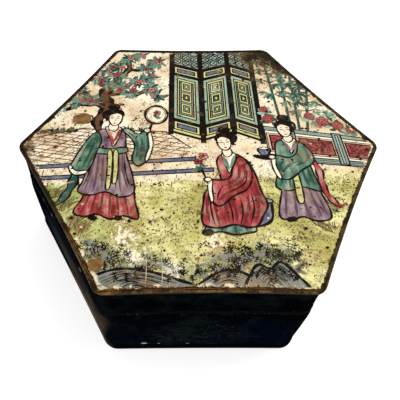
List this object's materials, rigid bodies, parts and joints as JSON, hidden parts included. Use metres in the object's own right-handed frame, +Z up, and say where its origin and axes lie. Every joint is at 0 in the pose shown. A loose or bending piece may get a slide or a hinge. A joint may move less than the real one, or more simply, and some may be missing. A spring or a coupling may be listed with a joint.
{
  "type": "hexagonal enamel box",
  "caption": "Low six-sided keepsake box of enamelled copper with a lift-off lid that slips over an inner collar, and a metal band at the rim, the mouths and the foot.",
  "frame": {"origin": "middle of the face that the foot band rests on", "axes": "+Z up through the lid, +X towards a corner, -Y towards the flat side that faces the front"},
  "size_m": [0.099, 0.0866, 0.0368],
  "materials": {
    "painted_panel": "opaque painted enamel, cream and yellow-green, worn and pitted",
    "brass": "brown tarnished brass with bright worn edges",
    "copper": "bare copper, dulled",
    "night_blue": "gloss dark blue enamel with fine wear",
    "pale_turquoise": "gloss pale turquoise enamel",
    "milk_white": "gloss white enamel with pits"
  },
  "bodies": {
    "base": {"base_copper": "copper", "base_side_enamel": "night_blue", "base_mouth_rim": "copper", "base_collar": "brass", "base_inner_enamel": "pale_turquoise", "base_bottom_enamel": "milk_white", "foot_band": "copper"},
    "lid": {"lid_copper": "copper", "lid_top_enamel": "painted_panel", "lid_rim_band": "brass", "lid_side_enamel": "night_blue", "lid_mouth_rim": "copper", "lid_inner_enamel": "pale_turquoise"}
  },
  "joints": [
    {"name": "lid_lift", "type": "slide", "parent": "base", "child": "lid", "axis": [0, 0, 1], "range_m": [0, 0.04]}
  ]
}
